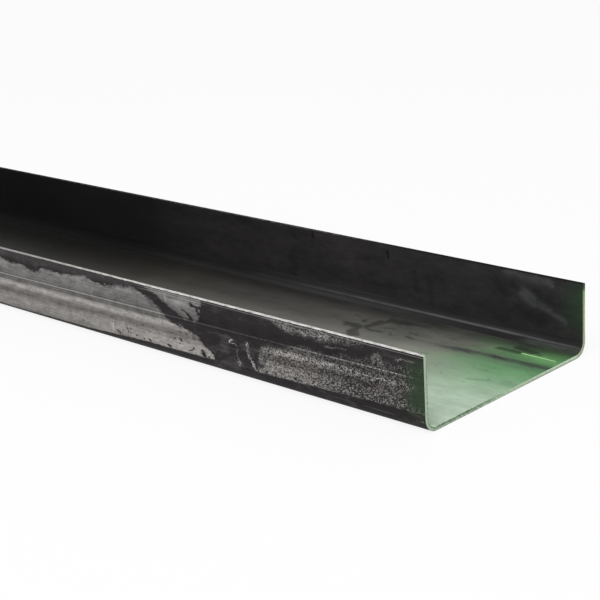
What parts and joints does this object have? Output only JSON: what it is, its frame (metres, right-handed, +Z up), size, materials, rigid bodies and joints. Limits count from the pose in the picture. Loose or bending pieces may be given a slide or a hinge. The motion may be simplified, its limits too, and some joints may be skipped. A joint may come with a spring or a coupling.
{
  "type": "cold-formed steel c channel",
  "caption": "Length of cold-formed steel C channel with a wide web and two short equal flanges, in black mill scale with one end paint-marked green, used as framing and bracket stock.",
  "frame": {"origin": "middle of the web's underside, halfway along the stock, where the channel rests on the floor", "axes": "+X along the stock towards the end with the green paint mark, +Y across the web, +Z up out of the open side"},
  "size_m": [2, 0.2, 0.06],
  "materials": {
    "mill_scale_steel": "satin black mill scale rubbed to grey in patches, bright slit edges, and a thin green paint mark sprayed on one end"
  },
  "bodies": {
    "root": {"c_channel": "mill_scale_steel"}
  },
  "joints": []
}
